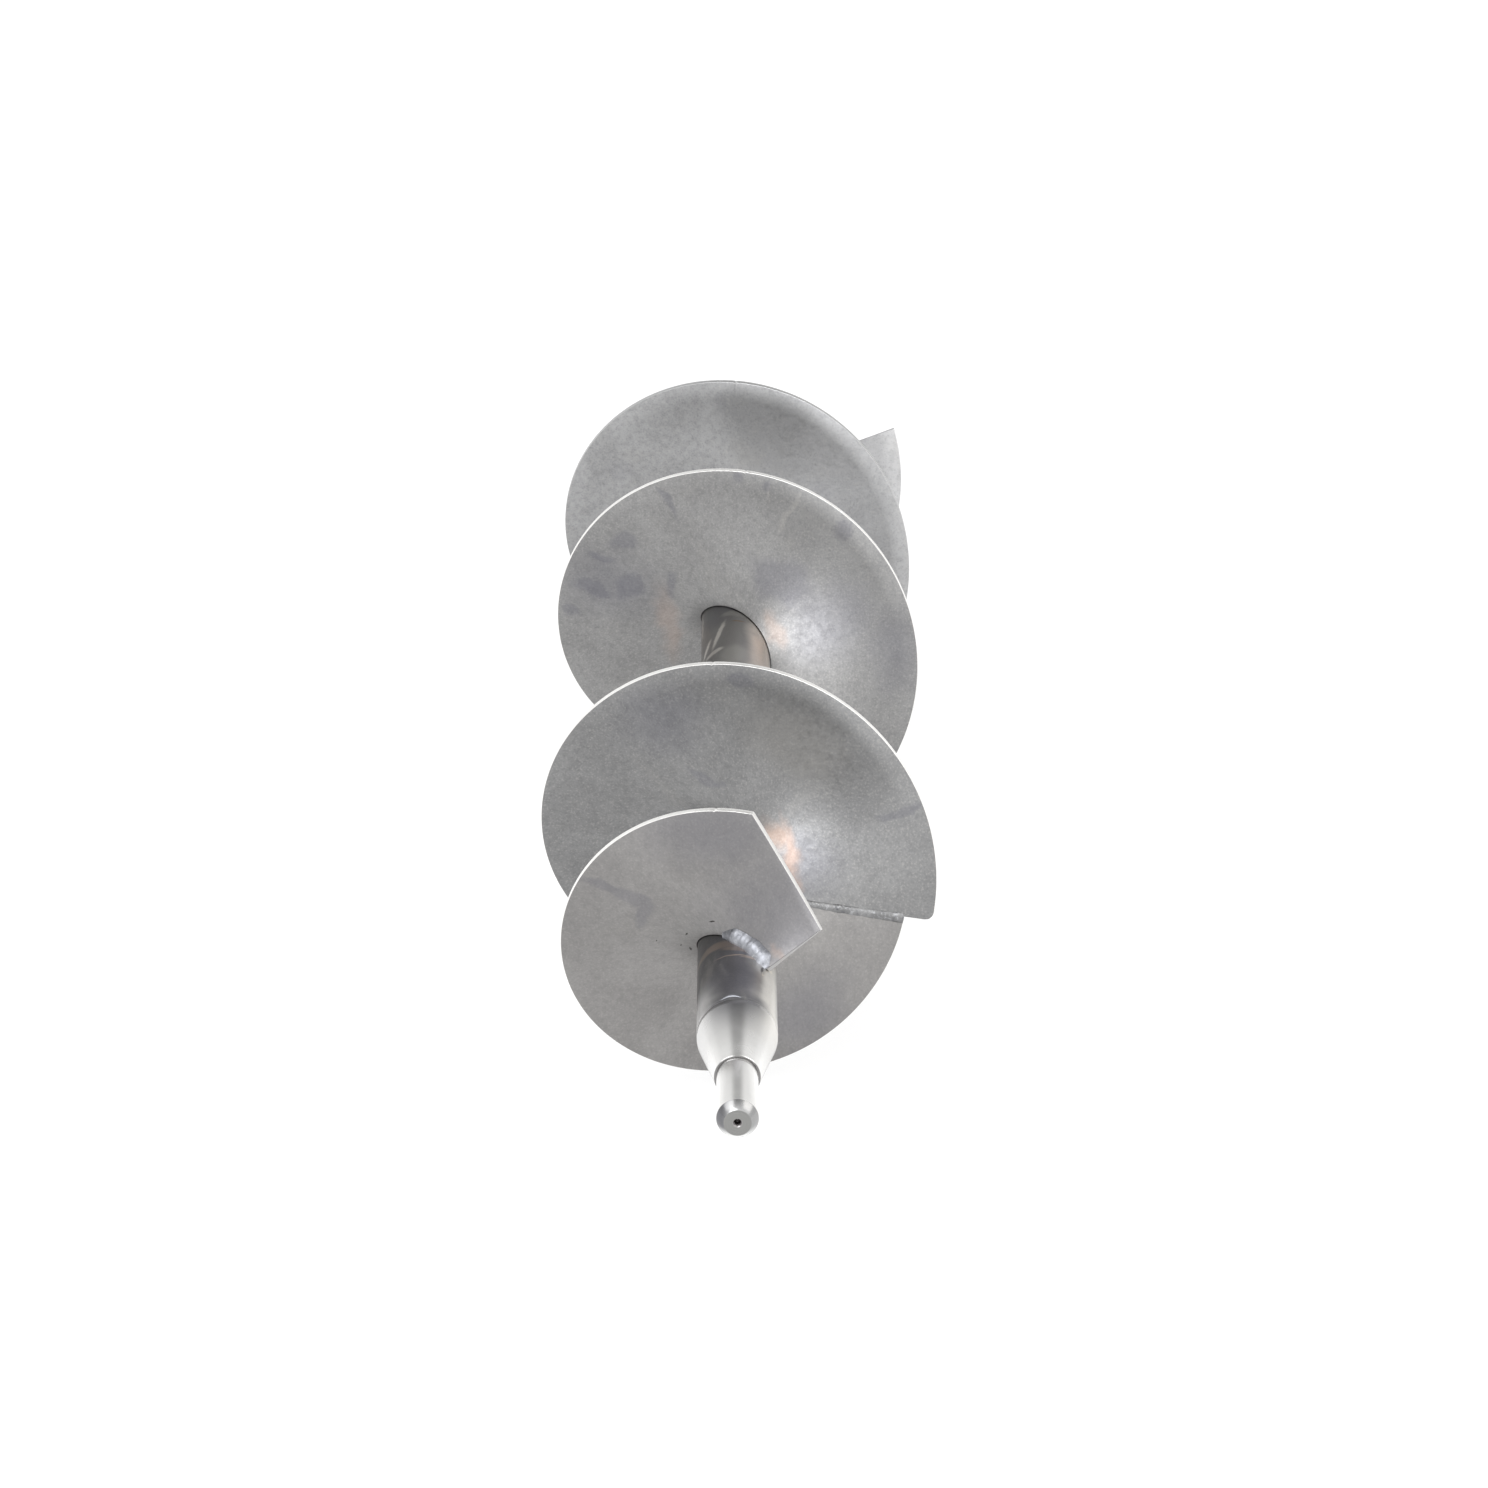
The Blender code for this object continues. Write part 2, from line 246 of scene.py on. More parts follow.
class Finish:
    """Builds the nodes of one material; each method returns an output socket."""

    def __init__(self, name, metallic=1.0):
        self.material = bpy.data.materials.new(name)
        self.material.use_nodes = True
        self.tree = self.material.node_tree
        self.shader = self.tree.nodes["Principled BSDF"]
        self.shader.inputs["Metallic"].default_value = metallic
        self.place = self.node("ShaderNodeTexCoord").outputs["Object"]

    def node(self, kind, **settings):
        made = self.tree.nodes.new(kind)
        for key, value in settings.items():
            setattr(made, key, value)
        return made

    def feed(self, socket, value):
        if isinstance(value, bpy.types.NodeSocket):
            self.tree.links.new(value, socket)
        else:
            socket.default_value = value

    def vector(self, operation, a, b=None):
        made = self.node("ShaderNodeVectorMath", operation=operation)
        self.feed(made.inputs[0], a)
        if b is not None:
            self.feed(made.inputs[1], b)
        return made.outputs["Value" if operation == "LENGTH" else "Vector"]

    def math(self, operation, a, b=None):
        made = self.node("ShaderNodeMath", operation=operation)
        self.feed(made.inputs[0], a)
        if b is not None:
            self.feed(made.inputs[1], b)
        return made.outputs[0]

    def stretched(self, stretch, source=None):
        return self.vector("MULTIPLY", source or self.place, stretch)

    def noise(self, scale, detail=2.0, distortion=0.0, source=None, colour=False):
        made = self.node("ShaderNodeTexNoise")
        made.inputs["Scale"].default_value = scale
        made.inputs["Detail"].default_value = detail
        made.inputs["Distortion"].default_value = distortion
        self.feed(made.inputs["Vector"], source or self.place)
        return made.outputs["Color" if colour else "Fac"]

    def ramp(self, value, low, high, to_low=0.0, to_high=1.0, smooth=True):
        made = self.node("ShaderNodeMapRange")
        made.interpolation_type = "SMOOTHSTEP" if smooth else "LINEAR"
        self.feed(made.inputs["Value"], value)
        limits = {"From Min": low, "From Max": high, "To Min": to_low, "To Max": to_high}
        for key, number in limits.items():
            made.inputs[key].default_value = number
        return made.outputs["Result"]

    def mix(self, factor, a, b):
        made = self.node("ShaderNodeMix", data_type="RGBA")
        self.feed(made.inputs["Factor"], factor)
        for socket, value in ((made.inputs[6], a), (made.inputs[7], b)):
            self.feed(socket, (*value, 1.0) if isinstance(value, tuple) else value)
        return made.outputs[2]

    def axes(self, source=None):
        """The three coordinates of a place."""
        made = self.node("ShaderNodeSeparateXYZ")
        self.feed(made.inputs[0], source or self.place)
        return made.outputs

    def patch(self, source, degrees, station, axial, sideways, tilt=0.0):
        """A mark on the shaft, 1 inside and 0 outside, given in degrees and millimetres.

        axial is its half size along the shaft, sideways round it, and tilt turns it to the left.
        """
        inwards = 30 * MM
        turn = (math.radians(tilt), -math.radians(degrees), 0)
        size = (inwards, axial * MM, sideways * MM)
        return self.soft_ball(source, on_tube(station * MM, degrees), turn, size, MARK_SOFTNESS)

    def ragged(self, scale, reach, detail=3.0):
        """The place pushed about by noise, so that marks measured from it have ragged edges."""
        wobble = self.vector("SUBTRACT", self.noise(scale, detail, colour=True), (0.5, 0.5, 0.5))
        return self.vector("ADD", self.place, self.vector("MULTIPLY", wobble, (reach, reach, reach)))

    def spot(self, source, degrees, radius, along, across, soft, tilt=0.0):
        """A mark on a flight, 1 inside and 0 outside, on both of its faces.

        along is its half size from the shaft outwards, across its half size round the shaft.
        """
        angle = math.radians(degrees)
        endless = 100
        place = (radius * math.cos(angle), 0, radius * math.sin(angle))
        turn = (0, -angle - math.radians(tilt), 0)
        return self.soft_ball(source, place, turn, (along, endless, across), soft)

    def soft_ball(self, source, place, turn, size, soft):
        """1 inside an ellipsoid with these half sizes and 0 outside it, with a soft edge."""
        ball = self.node("ShaderNodeMapping", vector_type="TEXTURE")
        self.feed(ball.inputs["Vector"], source)
        ball.inputs["Location"].default_value = place
        ball.inputs["Rotation"].default_value = turn
        ball.inputs["Scale"].default_value = size
        return self.ramp(self.vector("LENGTH", ball.outputs["Vector"]), 1 + soft, 1 - soft)

    def any_of(self, masks):
        joined = masks[0]
        for mask in masks[1:]:
            joined = self.math("MAXIMUM", joined, mask)
        return joined

    def weld_tint(self, side, height):
        """The colour of the shaft by the front girth weld: dark on top and pale at both sides."""
        sides = self.mix(self.ramp(side, -8 * MM, 14 * MM), (0.66, 0.655, 0.65), (0.72, 0.7, 0.66))
        return self.mix(self.ramp(height, 9 * MM, 20 * MM), sides, (0.19, 0.19, 0.2))

    def bump(self, height, strength, distance):
        made = self.node("ShaderNodeBump")
        made.inputs["Strength"].default_value = strength
        made.inputs["Distance"].default_value = distance
        self.feed(made.inputs["Height"], height)
        return made.outputs["Normal"]

    def done(self, colour, roughness, normal=None):
        self.feed(self.shader.inputs["Base Color"], colour)
        self.feed(self.shader.inputs["Roughness"], roughness)
        if normal is not None:
            self.feed(self.shader.inputs["Normal"], normal)
        return self.material


# ---------------------------------------------------------------- steels


def plate_steel(
    name,
    tone,
    dark=(),
    painted_shade=(),
    pale=(),
    warm=(),
    pits=(),
    depth=0.3,
    warmth=0.2,
    edge=(0.95, 0.94, 0.92),
    grit=0.72,
):
    """Hot rolled plate with a paler cut rim: grain, cloudy scale, marks, and soft painted shade.

    A mark is (degrees, radius, half size outwards, half size round, tilt), in degrees and mm,
    and a pit the same without tilt. depth and warmth say how strong dark and warm marks are.
    """
    steel = Finish(name)
    grain = steel.noise(900, 2)
    speckle = steel.noise(280, 4)
    cloud = steel.noise(24, 5, 0.8)
    smear = steel.noise(1.0, 4, 0.4, steel.stretched((26, 90, 26)))
    colour = steel.mix(
        steel.ramp(cloud, 0.3, 0.7), tuple(0.92 * c for c in tone), tuple(1.07 * c for c in tone)
    )
    colour = steel.mix(steel.ramp(speckle, 0.42, 0.66, 0.0, 0.2 * grit), colour, (0.1, 0.1, 0.105))
    colour = steel.mix(steel.ramp(grain, 0.52, 0.72, 0.0, 0.3 * grit), colour, (0.55, 0.53, 0.5))
    colour = steel.mix(steel.ramp(grain, 0.46, 0.3, 0.0, 0.3 * grit), colour, (0.1, 0.1, 0.11))
    colour = steel.mix(steel.ramp(smear, 0.56, 0.75, 0.0, 0.16), colour, (0.36, 0.35, 0.33))
    loose = steel.ragged(55, 20 * MM, 4)
    for marks, paint, amount, soft in (
        # The first marks are painted shade: soft dark patches that dull places the lamps light too
        # brightly.
        (painted_shade, (0.13, 0.13, 0.155), 0.36, 0.85),
        (warm, (0.5, 0.33, 0.24), warmth, 0.7),
        (pale, (0.5, 0.48, 0.45), 0.22, 0.6),
        (dark, (0.13, 0.13, 0.16), depth, 0.35),
    ):
        if marks:
            mask = steel.any_of(
                [
                    steel.spot(loose, degrees, r * MM, along * MM, across * MM, soft, tilt)
                    for degrees, r, along, across, tilt in marks
                ]
            )
            colour = steel.mix(steel.ramp(mask, 0, 1, 0, amount, smooth=False), colour, paint)
    if pits:
        close = steel.ragged(500, 1.0 * MM)
        mask = steel.any_of(
            [
                steel.spot(close, degrees, r * MM, along * MM, across * MM, MARK_SOFTNESS)
                for degrees, r, along, across in pits
            ]
        )
        colour = steel.mix(mask, colour, (0.03, 0.026, 0.024))
    cut = steel.node("ShaderNodeAttribute", attribute_name="cut_edge").outputs["Fac"]
    clean_cut = steel.ramp(cut, 0.3, 0.7)
    edge_tone = steel.mix(speckle, tuple(0.9 * c for c in edge), edge)
    colour = steel.mix(clean_cut, colour, edge_tone)
    rough = steel.ramp(speckle, 0.3, 0.7, 0.36, 0.44)
    height = steel.math("ADD", grain, steel.math("MULTIPLY", speckle, 1.5))
    return steel.done(colour, rough, steel.bump(height, 0.35, 0.08 * MM))


def weld_metal(name, tone, sheen=0.4, painted_glint=0.6):
    """Weld bead: blue grey with a painted highlight on the ripple crests, and burnt hollows."""
    weld = Finish(name)
    crests = weld.noise(420, 3, 0.8)
    clouds = weld.noise(110, 3)
    colour = weld.mix(weld.ramp(clouds, 0.35, 0.65), tuple(0.75 * c for c in tone), tone)
    # Painted highlight: pale blue white glints on the ripple crests.
    colour = weld.mix(weld.ramp(crests, 0.55, 0.72, 0.0, painted_glint), colour, (0.86, 0.88, 0.92))
    colour = weld.mix(weld.ramp(crests, 0.42, 0.3, 0.0, 0.5), colour, (0.1, 0.1, 0.12))
    rough = weld.ramp(clouds, 0.3, 0.7, sheen - 0.1, sheen + 0.08)
    return weld.done(colour, rough, weld.bump(crests, 0.4, 0.15 * MM))


def machined_steel(name, tone):
    """Turned steel with fine rings round the shaft's axis.

    Painted shade darkens the faced front end and the underside; the cone is tinted by the weld.
    """
    steel = Finish(name)
    rings = steel.noise(1.0, 3, 0.0, steel.stretched((25, 3200, 25)))
    face_rings = steel.node("ShaderNodeCombineXYZ")
    from_axis = steel.vector("LENGTH", steel.stretched((1, 0, 1)))
    steel.feed(face_rings.inputs["X"], steel.math("MULTIPLY", from_axis, 3600))
    on_face = steel.noise(1.0, 2, 0.0, face_rings.outputs["Vector"])
    smears = steel.noise(70, 3, 0.5)
    specks = steel.noise(1400, 2)
    side, along, height = steel.axes()
    station = steel.math("SUBTRACT", along, front_end)
    colour = steel.mix(steel.ramp(smears, 0.3, 0.7), tuple(0.95 * c for c in tone), tone)
    colour = steel.mix(steel.ramp(rings, 0.35, 0.65, 0.0, 0.12), colour, (0.66, 0.65, 0.63))
    colour = steel.mix(steel.ramp(specks, 0.64, 0.78, 0.0, 0.3), colour, (0.4, 0.38, 0.35))
    cone = steel.ramp(station, 50 * MM, 80 * MM, 0.0, 0.6)
    colour = steel.mix(cone, colour, (0.58, 0.575, 0.565))
    tint = steel.ramp(station, 62 * MM, 99 * MM, 0.0, 0.95)
    colour = steel.mix(tint, colour, steel.weld_tint(side, height))
    # Painted shade: the underside is painted darker.
    colour = steel.mix(steel.ramp(height, 0, -8 * MM), colour, (0.36, 0.355, 0.35))
    # Painted light and shade on the nose: paler at the bottom as a painted reflection, darker on the
    # left as painted shade.
    nose = steel.ramp(station, 5.4 * MM, 5.0 * MM)
    low = steel.ramp(height, -2 * MM, -9 * MM)
    left = steel.ramp(side, -3 * MM, -8 * MM)
    nose_painted_light_and_shade = steel.mix(left, (0.35, 0.35, 0.35), (0.17, 0.17, 0.18))
    nose_painted_light_and_shade = steel.mix(low, nose_painted_light_and_shade, (0.85, 0.85, 0.84))
    colour = steel.mix(nose, colour, nose_painted_light_and_shade)
    # Painted shade on the shoulder step.
    past_relief = steel.ramp(station, 50.9 * MM, 50.96 * MM)
    before_cone = steel.ramp(station, 51.3 * MM, 51.1 * MM)
    shoulder = steel.math("MULTIPLY", past_relief, before_cone)
    colour = steel.mix(shoulder, colour, (0.24, 0.235, 0.235))
    # Painted shade on the faced front end, over its turning rings.
    faced = steel.ramp(station, 0.12 * MM, 0.04 * MM)
    colour = steel.mix(faced, colour, steel.mix(on_face, (0.2, 0.2, 0.195), (0.33, 0.33, 0.32)))
    # Painted shade in the centre hole.
    near_axis = steel.ramp(from_axis, 2.4 * MM, 2.25 * MM)
    bore = steel.math("MULTIPLY", near_axis, steel.ramp(station, 20 * MM, 10 * MM))
    colour = steel.mix(bore, colour, (0.3, 0.29, 0.29))
    rough = steel.ramp(smears, 0.3, 0.7, 0.2, 0.28)
    relief = steel.math("ADD", rings, steel.math("MULTIPLY", on_face, 0.8))
    return steel.done(colour, rough, steel.bump(relief, 0.25, 0.02 * MM))


# Marks on the tube: (paint, amount, widely ragged, marks), each mark as Finish.patch reads it, in
# degrees and millimetres. Stations up to 170 are by the front flight, those past 570 by the rear.
TUBE_MARKS = (
    ((0.13, 0.13, 0.15), 0.5, True, ((100, 126, 15, 15), (122, 650, 22, 11))),
    ((0.46, 0.36, 0.29), 0.5, True, ((122, 168, 4, 16, -12), (92, 160, 2.5, 8, -20))),
    ((0.62, 0.5, 0.42), 0.7, False, ((92, 152, 0.7, 9), (66, 151, 1.0, 6, 8))),
    ((0.85, 0.8, 0.7), 0.8, False, ((40, 152, 3, 4, 10), (50, 137.5, 1.6, 0.5))),
    ((0.05, 0.045, 0.045), 0.8, False, ((51, 144, 5, 0.7, -8), (33, 160, 2, 1.6))),
    ((0.36, 0.35, 0.33), 0.8, False, ((93, 575, 14, 8), (93, 641, 4, 7), (76, 640, 5, 8))),
    ((0.72, 0.69, 0.64), 0.9, False, ((120, 612, 17, 1.7, -12), (147, 603, 10, 1.8, -20))),
    ((0.68, 0.65, 0.6), 0.9, False, ((130, 588, 3, 6, 0), (163, 655, 20, 0.8))),
    ((0.24, 0.16, 0.1), 0.7, False, ((86, 628, 1, 4),)),
)


def tube_steel():
    """Drawn tube: scale burnt dark by the welding, tempered bands, scrapes, a rubbed side, and painted
    light between the flights.
    """
    steel = Finish("burnt_tube_steel")
    loose = steel.ragged(70, 7 * MM)
    close = steel.ragged(200, 2.2 * MM)
    streaks = steel.noise(1.0, 4, 0.4, steel.stretched((120, 22, 120)))
    grain = steel.noise(800, 3)
    side, along, height = steel.axes(loose)
    station = steel.math("SUBTRACT", along, front_end)
    burnt = steel.mix(steel.ramp(side, -17 * MM, 0), (0.115, 0.115, 0.12), (0.195, 0.193, 0.21))
    # Away from the front weld the burnt and rubbed tones grow lighter: partly the weld's tint fading,
    # partly painted light where the flights shade the tube.
    weld_fade_and_painted_light = steel.ramp(station, 150 * MM, 300 * MM)
    burnt = steel.mix(weld_fade_and_painted_light, burnt, (0.24, 0.233, 0.225))
    pale = steel.mix(weld_fade_and_painted_light, (0.68, 0.66, 0.62), (0.86, 0.77, 0.69))
    # The rubbed side is darker towards the bottom.
    pale = steel.mix(steel.ramp(height, 9 * MM, 1 * MM), pale, (0.33, 0.325, 0.32))
    # The rubbed right side is also painted paler, as painted light between the flights.
    rubbed = steel.ramp(side, 3 * MM, 15 * MM)
    colour = steel.mix(rubbed, burnt, pale)
    left_edge = steel.ramp(side, -4 * MM, -17 * MM)
    early = steel.math("MULTIPLY", left_edge, steel.ramp(station, 140 * MM, 112 * MM))
    colour = steel.mix(early, colour, (0.6, 0.595, 0.59))
    colour = steel.mix(steel.ramp(station, 112 * MM, 101 * MM), colour, steel.weld_tint(side, height))
    colour = steel.mix(steel.ramp(streaks, 0.56, 0.72, 0.0, 0.25), colour, (0.45, 0.43, 0.4))
    for paint, amount, widely_ragged, marks in TUBE_MARKS:
        source = loose if widely_ragged else close
        mask = steel.any_of([steel.patch(source, *mark) for mark in marks])
        colour = steel.mix(steel.ramp(mask, 0, 1, 0, amount, smooth=False), colour, paint)
    colour = steel.mix(steel.ramp(grain, 0.4, 0.8, 0.0, 0.2), colour, (0.3, 0.29, 0.28))
    rough = steel.ramp(streaks, 0.3, 0.7, 0.3, 0.42)
    return steel.done(colour, rough, steel.bump(grain, 0.35, 0.08 * MM))


# ---------------------------------------------------------------- flights


def front_rim_at(degrees):
    """Rim radius of the front flight: its leading edge is cut straight across to the full rim."""
    if degrees >= FRONT_FULL_RIM:
        return FRONT_RIM
    sweep = math.radians(FRONT_FULL_RIM - FRONT_START)
    start = Vector((FRONT_CORNER_RADIUS, 0))
    cut = FRONT_RIM * Vector((math.cos(sweep), math.sin(sweep))) - start
    turned_by = math.radians(degrees - FRONT_START)
    ray = Vector((math.cos(turned_by), math.sin(turned_by)))
    return (start.x * cut.y - start.y * cut.x) / (ray.x * cut.y - ray.y * cut.x)


def full_rim(degrees):
    """Rim radius of the large flights."""
    return REAR_RIM


def rounded_end(rim_at, end, corner):
    """A rim whose corner at one end angle is rounded off."""

    def rim(degrees):
        full = rim_at(degrees)
        left = corner - math.radians(abs(degrees - end)) * full
        return full - (corner - math.sqrt(corner**2 - left**2)) if left > 0 else full

    return rim


def nicked(rim_at, middle):
    """A rim with one small torch nick at an angle."""

    def rim(degrees):
        return rim_at(degrees) - NICK_DEPTH * math.exp(-(((degrees - middle) / NICK_HALF_WIDTH) ** 2))

    return rim


def leading_edge_shine(degrees):
    return 1.0 if degrees > FRONT_FULL_RIM else LEADING_EDGE_SHINE


def plate_section(set_station, degrees, rim, edge_shift, thin):
    """One cross-section of a plate: up its front face, round the rim, down its back face."""
    root = SHAFT_RADIUS + ROOT_GAP
    top = rim - RIM_TRIM - EDGE
    half = PLATE / 2 - thin
    rows = [(root * (top / root) ** (row / RADIAL_ROWS), half) for row in range(RADIAL_ROWS + 1)]
    rows.append((top + 0.7 * EDGE, half - 0.3 * EDGE))
    rows.append((top + EDGE, half - EDGE))
    front = []
    back = []
    for radius, reach in rows:
        shifted = degrees + offset_angle(radius, edge_shift)
        middle = screw_point(set_station, radius, shifted)
        normal = screw_normal(radius, shifted)
        bend = plate_wave(middle)
        front.append(middle + (bend - reach) * normal)
        back.append(middle + (bend + reach) * normal)
    return front + back[::-1]


def plate_columns(start, end, breaks):
    """Angles of a plate's cross-sections, closer together at its ends."""
    close = [math.degrees(step * MM / REAR_RIM) for step in (0, 0.45, 1.0, 2.0, 3.0, 4.2)]
    angles = {start + step for step in close} | {end - step for step in close} | set(breaks)
    first = math.ceil((start + 3) / COLUMN_STEP) * COLUMN_STEP
    angles.update(range(first, math.floor(end - 2.5), COLUMN_STEP))
    return sorted(angles)


def flight(set_station, start, end, rim_at, start_shift, end_shift, breaks=(), shine_at=None):
    """A plate between two angles, with the points of its rim and ends marked as cut.

    shine_at gives how clean the cut of the rim is at an angle; without it the rim is clean.
    """
    loops = []
    cuts = []
    points_up_a_face = RADIAL_ROWS + 1
    for degrees in plate_columns(start, end, breaks):
        near_start = max(0, 1 - (degrees - start) / OFFSET_FADE)
        near_end = max(0, 1 - (end - degrees) / OFFSET_FADE)
        shift = start_shift * near_start + end_shift * near_end
        thin = EDGE if degrees in (start, end) else 0.0
        loops.append(plate_section(set_station, degrees, rim_at(degrees), shift, thin))
        on_face = [END_SHINE if thin else 0.0] * points_up_a_face
        on_rim = [shine_at(degrees) if shine_at else 1.0] * 4
        cuts += on_face + on_rim + on_face
    return (*skin(loops), cuts)


def around(middle, width=1.5, steps=7):
    """Angles close together about one angle."""
    return [middle + width * (2 * step / (steps - 1) - 1) for step in range(steps)]


def rear_plates():
    """Start and end angles of the plates of the rear set."""
    joints = list(range(REAR_START, REAR_END, TURN)) + [REAR_END]
    return list(zip(joints, joints[1:]))


# Looks of the rear plates from front to rear, as plate_steel reads them
REAR_LOOKS = (
    {
        "tone": (0.282, 0.28, 0.278),
        "edge": (0.95, 0.94, 0.92),
        "dark": (
            (60, 50, 14, 16, 0),
            (50, 97, 5, 6, 0),
            (79, 100, 4, 3, 0),
            (89, 99, 4, 3, 0),
            (117, 92, 11, 2.5, 12),
            (140, 84, 8, 7, 0),
            (152, 90, 9, 4, 20),
            (166, 86, 12, 5, -10),
            (160, 66, 7, 9, 0),
            (146, 46, 3.5, 9, 25),
            (178, 96, 5, 4, 0),
        ),
        "depth": 0.34,
        # Painted shade: soft dark patches where the lamps light this plate too brightly; the one at 162
        # degrees also joins dark scale patches
        "painted_shade": ((24, 60, 22, 18, 0), (5, 92, 12, 20, 0), (162, 80, 26, 20, 0)),
        "pale": ((70, 88, 12, 1.6, 0), (78, 96, 6, 1.2, 0)),
        "warm": ((36, 27, 4, 6, 0), (190, 40, 6, 24, 0)),
    },
    {
        "tone": (0.37, 0.37, 0.373),
        "edge": (0.5, 0.5, 0.5),
        "dark": ((455, 92, 6, 3, 0), (510, 80, 9, 7, 0), (400, 66, 6, 10, 0)),
        "depth": 0.12,
        "warm": ((45, 48, 4, 8, 0),),
    },
    {
        "tone": (0.5, 0.5, 0.505),
        "edge": (0.7, 0.7, 0.7),
        "dark": ((100, 60, 10, 14, 0), (20, 80, 9, 8, 0)),
        "depth": 0.16,
    },
)


def make_flights():
    """The plates: each is a piece of its own with its own marks."""
    front_steel = plate_steel(
        "front_flight_steel",
        (0.274, 0.267, 0.262),
        dark=((150, 74, 15, 2.5, 0), (149, 60, 9, 5, 0), (156, 51, 5, 8, 0)),
        # Painted shade: soft dark patches where the lamps light this plate too brightly
        painted_shade=((58, 46, 34, 30, 0), (98, 78, 18, 34, 0), (300, 72, 16, 20, 0)),
        warm=((48, 28.5, 1.6, 5, 0),),
        pits=(
            (116, 28.6, 0.4, 1.5),
            (158, 27.5, 0.4, 1.2),
            (181, 28.5, 0.3, 0.9),
            (190, 24, 0.5, 1.8),
            (176, 41, 0.25, 0.7),
        ),
        warmth=0.16,
        grit=0.45,
    )
    front = flight(
        FRONT_SET_STATION,
        FRONT_START,
        FRONT_JOINT,
        nicked(front_rim_at, FRONT_NICK),
        0,
        END_OFFSET - JOINT_HALF_GAP,
        breaks=(FRONT_FULL_RIM, *around(FRONT_NICK)),
        shine_at=leading_edge_shine,
    )
    make_piece("front_flight_plate", [front], front_steel, "plate_steel", "front_flight")
    main_steel = plate_steel(
        "main_flight_steel",
        (0.25, 0.25, 0.25),
        dark=(
            (FRONT_JOINT + 30, 92, 12, 2.5, 0),
            (FRONT_JOINT + 98, 98, 4, 7, 0),
            (FRONT_JOINT + 122, 42, 3, 12, -35),
        ),
        # Painted shade: soft dark patches where the lamps light this plate too brightly
        painted_shade=((FRONT_JOINT + 128, 80, 16, 20, 0), (FRONT_JOINT + 18, 36, 16, 14, 0)),
        pale=((FRONT_JOINT + 74, 72, 18, 26, 0),),
        warm=((FRONT_JOINT + 20, 29, 4, 18, 0), (FRONT_JOINT + 47, 27, 5, 7, 0)),
        warmth=0.4,
    )
    main = flight(
        FRONT_SET_STATION,
        FRONT_JOINT,
        FRONT_JOINT + TURN,
        rounded_end(nicked(full_rim, MAIN_NICK), FRONT_JOINT, 4 * MM),
        END_OFFSET + JOINT_HALF_GAP,
        END_OFFSET,
        breaks=around(MAIN_NICK),
    )
    make_piece("main_flight_plate", [main], main_steel, "plate_steel", "main_flight")
    for number, ((start, end), nick, looks) in enumerate(zip(rear_plates(), REAR_NICKS, REAR_LOOKS)):
        node = f"rear_flight_{number + 1}"
        steel = plate_steel(f"{node}_steel", **looks)
        shape = flight(
            REAR_SET_STATION,
            start,
            end,
            nicked(full_rim, nick) if nick else full_rim,
            END_OFFSET + (0 if number == 0 else JOINT_HALF_GAP),
            END_OFFSET - (0 if end == REAR_END else JOINT_HALF_GAP),
            breaks=around(nick) if nick else (),
        )
        make_piece(f"{node}_plate", [shape], steel, "plate_steel", node)


# ---------------------------------------------------------------- welds


def butt_bead(set_station, joint, rim):
    """A rippled bead on both faces of two plates along the line they share."""
    loops = []
    ripple_pitch = 2.1 * MM
    ripple_bow = 1.2 * MM
    rough_end = 5 * MM
    radius = SHAFT_RADIUS + 0.6 * MM
    while radius < rim - 0.3 * MM:
        along_share = smooth_step(radius, 20 * MM, 90 * MM)
        degrees = joint + offset_angle(radius, END_OFFSET)
        centre = screw_point(set_station, radius, degrees)
        through = screw_normal(radius, degrees)
        centre += plate_wave(centre) * through
        angle = math.radians(degrees)
        along = Vector((math.cos(angle), 0, math.sin(angle))).cross(through)
        rough = noise.noise(Vector((radius * 220, joint, 0)))
        half = (1.7 + 0.9 * along_share + 0.35 * rough) * MM
        crown = (0.9 + 0.3 * rough) * MM
        if radius > rim - rough_end:
            crown += 0.7 * MM * abs(noise.noise(Vector((radius * 500, joint, 5))))
        cap = []
        for step in range(9):
            across = math.cos(math.pi * step / 8)
            ripple = math.sin((radius + ripple_bow * across**2) * math.tau / ripple_pitch)
            lift = (crown + 0.13 * MM * ripple) * (1 - across**2) ** 0.7
            cap.append((half * across, PLATE / 2 - 0.15 * MM + lift))
        neck = 0.5 * MM
        outline = [(neck, cap[0][1]), *cap, (-neck, cap[0][1])]
        outline += [(-across, -lift) for across, lift in outline]
        loops.append([centre + a * along + t * through for a, t in outline])
        radius += BUTT_STEP
    return skin(loops, caps="face")


def beside_seam(set_station, radius, degrees, reach):
    """A point at a reach from the seam between plate and shaft, square to the seam."""
    lean = lead_angle(SHAFT_RADIUS)
    turned_back = math.degrees(reach * math.sin(lean) / SHAFT_RADIUS)
    return screw_point(set_station, radius, degrees - turned_back, reach / math.cos(lean))


